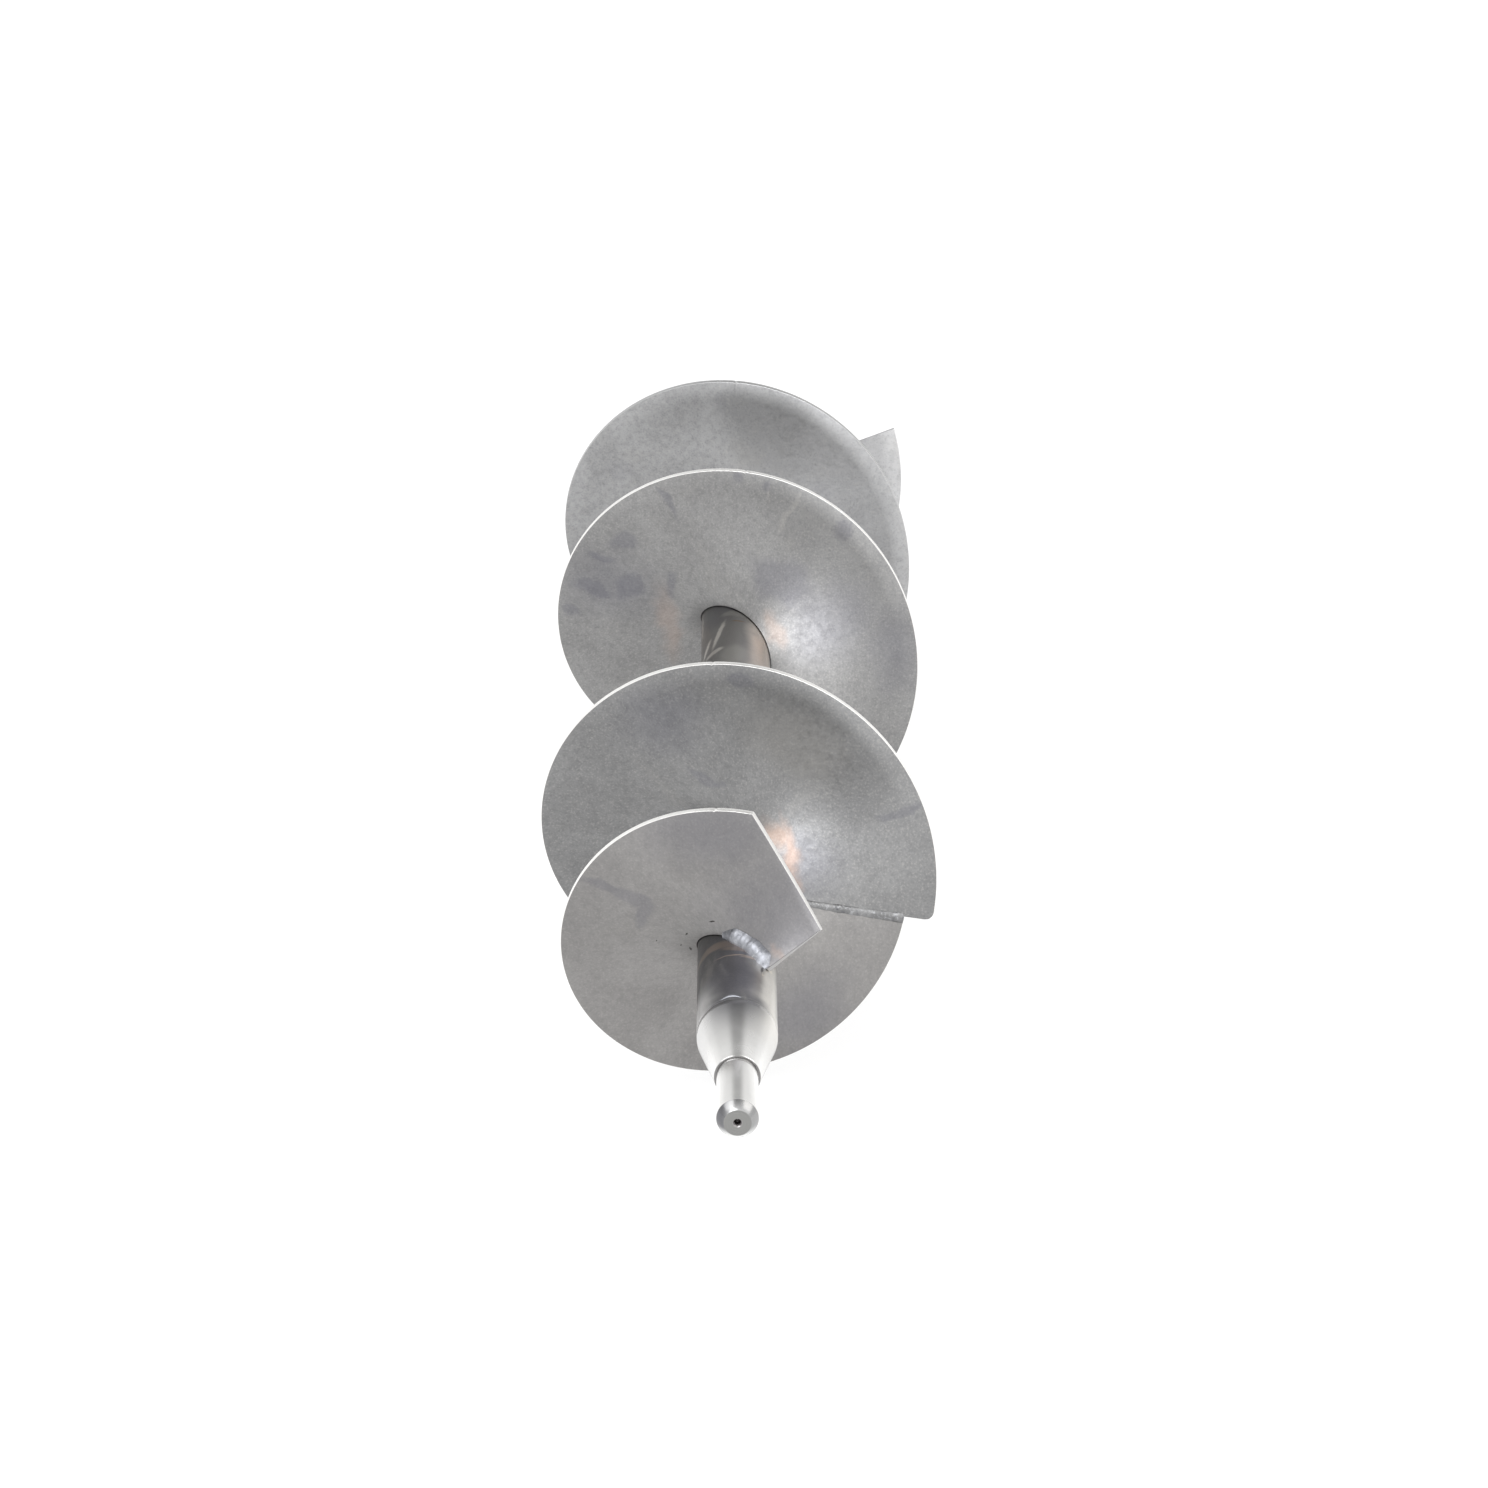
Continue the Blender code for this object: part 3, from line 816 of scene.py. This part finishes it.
def fillet_bead(set_station, start, end, side, up, along, seed):
    """A rippled bead along the root of a flight; side is 1 behind the plate.

    up and along are its legs, up the plate and along the shaft.
    """
    loops = []
    root = SHAFT_RADIUS - 0.2 * MM
    inner = PLATE / 2 - 0.2 * MM
    seam_per_degree = math.radians(SHAFT_RADIUS) / math.cos(lead_angle(SHAFT_RADIUS))
    ripple_pitch = 2.6 * MM
    ripple_bow = 1.6 * MM
    degrees = start
    while degrees <= end:
        run = degrees * seam_per_degree
        from_start = (degrees - start) * seam_per_degree
        from_end = (end - degrees) * seam_per_degree
        fullness = min(smooth_step(from_start, 0, 4 * MM), smooth_step(from_end, 0, 10 * MM))
        size = 0.45 + 0.55 * fullness
        rough = noise.noise(Vector((run * 180, seed, 0)))
        size *= 1 + 0.13 * rough
        section = [(root, inner)]
        for step in range(9):
            share = step / 8
            bowed_run = run + ripple_bow * (1 - (2 * share - 1) ** 2)
            ripple = math.sin(bowed_run * math.tau / ripple_pitch)
            crown = 0.75 * MM + 0.05 * MM * ripple + 0.16 * MM * rough
            bulge = crown * size * math.sin(math.pi * share)
            radius = root + up * size * (1 - share) + bulge
            section.append((radius, inner + along * size * share + bulge))
        loops.append([beside_seam(set_station, r, degrees, side * reach) for r, reach in section])
        degrees += FILLET_STEP
    return skin(loops, caps="face")


def girth_bead(station):
    """A low ring of weld between the tube and a stub, nearly flush with both."""
    loops = []
    for i in range(ROUND_SEGMENTS):
        degrees = 360 * i / ROUND_SEGMENTS
        angle = math.radians(degrees)
        rough = noise.noise(Vector((4 * math.cos(angle), 4 * math.sin(angle), station * 9)))
        half = (1.5 + 0.3 * rough) * MM
        crown = (0.05 + 0.06 * rough) * MM
        section = [(0, -2.6 * MM), (-half, -0.1 * MM), (-0.5 * half, 0.8 * crown), (0, crown)]
        section += [(0.5 * half, 0.8 * crown), (half, -0.1 * MM)]
        loops.append([on_tube(station + s, degrees, SHAFT_RADIUS + lift) for s, lift in section])
    return skin(loops, closed=True)


def crescent(station, degrees):
    """A curved smear of spatter on the front girth weld."""
    loops = []
    for step in range(15):
        share = step / 14
        width = 0.15 * MM + 0.75 * MM * math.sin(math.pi * share)
        middle = station + 2.2 * MM * math.sin(math.pi * share) - 1.1 * MM
        turn = degrees + 30 * (share - 0.5)
        section = []
        for corner in range(8):
            angle = math.tau * corner / 8
            lift = 0.7 * width * math.sin(angle)
            section.append(on_tube(middle + width * math.cos(angle), turn, SHAFT_RADIUS + lift))
        loops.append(section)
    return skin(loops, caps="face")


def make_welds(tube_metal):
    """All the beads; the girth welds are burnt like the tube, so they have its metal."""
    # Both weld metals carry a weak painted highlight on their ripple crests.
    grey_weld = weld_metal("seam_weld_metal", (0.27, 0.27, 0.272), painted_glint=0.25)
    bright_weld = weld_metal("stitch_weld_metal", (0.36, 0.37, 0.4), 0.46, painted_glint=0.25)
    joints = [("front_main_butt_weld", FRONT_SET_STATION, FRONT_JOINT, FRONT_RIM)]
    for number, (_start, end) in enumerate(rear_plates()[:-1], start=1):
        joints.append((f"rear_butt_weld_{number}", REAR_SET_STATION, end, REAR_RIM))
    for node, set_station, joint, rim in joints:
        shape = butt_bead(set_station, joint, rim)
        make_piece(f"{node}_bead", [shape], grey_weld, "weld_metal", node)
    slant = offset_angle(SHAFT_RADIUS, END_OFFSET)
    fillets = [
        ("front_flight_root_weld", FRONT_SET_STATION, FRONT_START, FRONT_JOINT + slant),
        ("main_flight_root_weld", FRONT_SET_STATION, FRONT_JOINT + slant, FRONT_JOINT + TURN + slant),
    ]
    for number, (start, end) in enumerate(rear_plates(), start=1):
        fillets.append((f"rear_flight_{number}_root_weld", REAR_SET_STATION, start + slant, end + slant))
    for seed, (node, set_station, start, end) in enumerate(fillets):
        first, last = start + FILLET_SETBACK, end - FILLET_SETBACK
        shape = fillet_bead(set_station, first, last, 1, FILLET_LEG, FILLET_LEG, seed)
        make_piece(f"{node}_bead", [shape], grey_weld, "weld_metal", node)
    before_end = slant - STITCH - STITCH_SETBACK
    stitches = [
        ("front_start_stitch_weld", FRONT_SET_STATION, FRONT_START, bright_weld),
        ("main_end_stitch_weld", FRONT_SET_STATION, FRONT_JOINT + TURN + before_end, grey_weld),
        ("rear_start_stitch_weld", REAR_SET_STATION, REAR_START + slant, grey_weld),
        ("rear_end_stitch_weld", REAR_SET_STATION, REAR_END + before_end, grey_weld),
    ]
    for seed, (node, set_station, first, metal) in enumerate(stitches, start=20):
        shape = fillet_bead(set_station, first, first + STITCH, -1, STITCH_UP, STITCH_ALONG, seed)
        make_piece(f"{node}_bead", [shape], metal, "weld_metal", node)
    for node, station in (("front_girth_weld", TUBE_FRONT), ("rear_girth_weld", TUBE_REAR)):
        make_piece(f"{node}_bead", [girth_bead(station)], tube_metal, "weld_metal", node)
    make_piece("front_girth_spatter", [crescent(TUBE_FRONT + 1.5 * MM, 99)], bright_weld, "weld_metal")


# ---------------------------------------------------------------- turned pieces


def lathe(profile, radius_at=None):
    """A solid turned about the shaft's axis from (station, radius) points; radius 0 is a pole.

    radius_at(station, radius, angle) may cut the round down, as milled flats do.
    """
    points = []
    rings = []
    for station, radius in profile:
        first = len(points)
        if radius == 0:
            points.append(on_tube(station, 0, 0))
            rings.append([first] * ROUND_SEGMENTS)
            continue
        for i in range(ROUND_SEGMENTS):
            degrees = 360 * i / ROUND_SEGMENTS
            kept = radius_at(station, radius, degrees) if radius_at else radius
            points.append(on_tube(station, degrees, kept))
        rings.append(list(range(first, first + ROUND_SEGMENTS)))
    faces = []
    for near, far in zip(rings, rings[1:] + rings[:1]):
        for i in range(ROUND_SEGMENTS):
            j = (i + 1) % ROUND_SEGMENTS
            corners = list(dict.fromkeys((near[i], near[j], far[j], far[i])))
            if len(corners) > 2:
                faces.append(corners)
    return points, faces


def make_front_stub(steel):
    """Centre hole, tapered nose, journal, relief groove, shoulder, cone and spigot."""
    spigot = SHAFT_RADIUS - TUBE_WALL - GAP
    spigot_end = TUBE_FRONT + SPIGOT_LENGTH
    outline = [
        # Centre hole
        (6.5, 0),
        (6, 1),
        (2.1, 1),
        (0.1, 2.15),
        (0, 2.35),
        # Faced end and nose
        (0, 6.55),
        (0.15, 6.8),
        (5.05, 10.1),
        # Journal and its relief groove
        (5.4, 10.2),
        (49.75, 10.2),
        (49.9, 9.85),
        (50.1, 9.8),
        (50.9, 9.8),
        (51, 9.9),
        # Shoulder and cone
        (51, 11.15),
        (51.2, 11.35),
        (52.5, 11.6),
        (93, 19.5),
        (94.5, 19.8),
        (95.4, 19.92),
        (96.6, 19.98),
        (97.6, 20),
        # Groove for the girth weld
        (98.3, 20),
        (99.6, 17.6),
    ]
    profile = [(station * MM, radius * MM) for station, radius in outline]
    profile += [(TUBE_FRONT - GAP, spigot), (spigot_end, spigot), (spigot_end, 0)]
    make_piece("front_journal_turned", [lathe(profile)], steel, "machined_steel", "front_journal_stub")


def make_rear_stub(steel):
    """The drive end, with two milled flats that run out in small radii."""
    length = rear_end - front_end
    spigot = SHAFT_RADIUS - TUBE_WALL - GAP
    spigot_end = TUBE_REAR - SPIGOT_LENGTH

    def milled(station, radius, degrees):
        rise = abs(math.sin(math.radians(degrees)))
        depth_share = smooth_step(station, FLATS_START - 0.2 * MM, FLATS_START + 1.4 * MM)
        runout = HALF_FLATS + 4 * MM * (1 - depth_share)
        return min(radius, runout / rise) if rise > 0.1 else radius

    profile = [(spigot_end, 0), (spigot_end, spigot), (TUBE_REAR + GAP, spigot)]
    profile += [(TUBE_REAR + 0.4 * MM, 17.6 * MM), (TUBE_REAR + 1.7 * MM, SHAFT_RADIUS)]
    profile += [(985.6 * MM, SHAFT_RADIUS), (DRIVE_START, 19.6 * MM), (DRIVE_START, 15.6 * MM)]
    profile += [(986.2 * MM, 15.15 * MM), (986.8 * MM, DRIVE_RADIUS)]
    profile += [(FLATS_START + 0.2 * MM * step, DRIVE_RADIUS) for step in range(-1, 8)]
    profile += [(length - 2.15 * MM, DRIVE_RADIUS), (length - 1.95 * MM, 14.93 * MM)]
    profile += [(length - 0.1 * MM, 13.05 * MM), (length, 12.85 * MM), (length, 0)]
    make_piece("rear_drive_turned", [lathe(profile, milled)], steel, "machined_steel", "rear_drive_stub")


def make_tube(steel):
    """The tube, chamfered at both ends for the girth welds."""
    front = TUBE_FRONT + GAP
    rear = TUBE_REAR - GAP
    bore = SHAFT_RADIUS - TUBE_WALL
    profile = [(front, bore), (front, 17.3 * MM), (TUBE_FRONT + 1.6 * MM, SHAFT_RADIUS - 0.06 * MM)]
    profile += [(TUBE_FRONT + 2.2 * MM, SHAFT_RADIUS), (TUBE_REAR - 2.2 * MM, SHAFT_RADIUS)]
    profile += [(TUBE_REAR - 1.6 * MM, SHAFT_RADIUS - 0.06 * MM), (rear, 17.3 * MM), (rear, bore)]
    make_piece("shaft_tube_drawn", [lathe(profile)], steel, "rolled_steel", "shaft_tube")


# ---------------------------------------------------------------- studio


def soft_light(name, centre, target, size, power, colour=(1, 1, 1)):
    """A rectangular light box that the camera does not see."""
    light = bpy.data.lights.new(name, "AREA")
    light.shape = "RECTANGLE"
    light.size, light.size_y = size
    light.energy = power
    light.color = colour
    lamp = bpy.data.objects.new(name, light)
    lamp.location = centre
    lamp.rotation_euler = (Vector(target) - Vector(centre)).to_track_quat("-Z", "Y").to_euler()
    lamp.visible_camera = False
    bpy.context.scene.collection.objects.link(lamp)


def make_floor():
    """A wide pale floor just under the flights; it glows a little, so shadows stay soft."""
    mesh = bpy.data.meshes.new("studio_floor")
    level = cad_box[0].z - FLOOR_DROP
    corners = [(x * FLOOR_HALF, y * FLOOR_HALF, level) for x, y in ((-1, -1), (1, -1), (1, 1), (-1, 1))]
    mesh.from_pydata(corners, [], [(0, 1, 2, 3)])
    paint = Finish("pale_floor", metallic=0.0)
    tone = paint.mix(paint.noise(3, 3), (0.29, 0.29, 0.29), (0.32, 0.32, 0.32))
    paint.shader.inputs["Emission Color"].default_value = (1, 1, 1, 1)
    paint.shader.inputs["Emission Strength"].default_value = FLOOR_GLOW
    mesh.materials.append(paint.done(tone, 0.9))
    floor = bpy.data.objects.new("studio_floor", mesh)
    bpy.context.scene.collection.objects.link(floor)


def make_room():
    """A pale room: brighter above the horizon in front, with a dark gap overhead and behind."""
    world = bpy.data.worlds.new("studio_room")
    bpy.context.scene.world = world
    world.use_nodes = True
    tree = world.node_tree

    def math_node(operation, a, b=None):
        made = tree.nodes.new("ShaderNodeMath")
        made.operation = operation
        for socket, value in zip(made.inputs, (a, b)):
            if isinstance(value, bpy.types.NodeSocket):
                tree.links.new(value, socket)
            elif value is not None:
                socket.default_value = value
        return made.outputs[0]

    def step(value, low, high):
        made = tree.nodes.new("ShaderNodeMapRange")
        made.interpolation_type = "SMOOTHSTEP"
        tree.links.new(value, made.inputs["Value"])
        made.inputs["From Min"].default_value = low
        made.inputs["From Max"].default_value = high
        return made.outputs["Result"]

    way = tree.nodes.new("ShaderNodeTexCoord")
    parts = tree.nodes.new("ShaderNodeSeparateXYZ")
    tree.links.new(way.outputs["Generated"], parts.inputs[0])
    side, depth, height = parts.outputs
    gap = math_node("MULTIPLY", step(math_node("ABSOLUTE", side), 0.36, 0.1), step(height, 0.2, 0.6))
    gap = math_node("MULTIPLY", gap, step(depth, -0.25, 0.1))
    glow = math_node("MULTIPLY", step(height, 0.05, 0.36), step(depth, -0.1, -0.6))
    behind = math_node("MULTIPLY", step(height, 0.1, 0.35), step(depth, -0.1, 0.4))
    light = math_node("ADD", ROOM_LIGHT, math_node("MULTIPLY", glow, FRONT_GLOW))
    light = math_node("SUBTRACT", light, math_node("MULTIPLY", behind, BEHIND_SHADE))
    light = math_node("SUBTRACT", light, math_node("MULTIPLY", gap, GAP_SHADE))
    backdrop = tree.nodes["Background"]
    backdrop.inputs["Color"].default_value = (1, 1, 1, 1)
    tree.links.new(light, backdrop.inputs["Strength"])


def make_lights():
    soft_light("left_box", (-1.5, -0.35, 1.9), (0, -0.45, 0), (1.5, 1.9), 15)
    soft_light("right_box", (1.6, -0.35, 1.5), (0, -0.45, 0), (1.5, 1.6), 13, (1, 0.98, 0.95))
    soft_light("front_box", (-0.85, -1.67, 1.56), (0, -0.2, 0), (1.5, 1.4), 20, (0.96, 0.975, 1))


def make_camera():
    data = bpy.data.cameras.new("studio_camera")
    data.sensor_width = 36
    data.lens = CAMERA_LENS
    camera = bpy.data.objects.new("studio_camera", data)
    camera.location = CAMERA_PLACE
    camera.rotation_euler = [math.radians(angle) for angle in CAMERA_TURN]
    bpy.context.scene.collection.objects.link(camera)
    bpy.context.scene.camera = camera


bpy.context.scene.view_settings.view_transform = "Standard"
turned_steel = machined_steel("turned_steel", (0.9, 0.895, 0.88))
make_camera()
make_flights()
tube_metal = tube_steel()
make_welds(tube_metal)
make_tube(tube_metal)
make_front_stub(turned_steel)
make_rear_stub(turned_steel)
make_floor()
make_room()
make_lights()
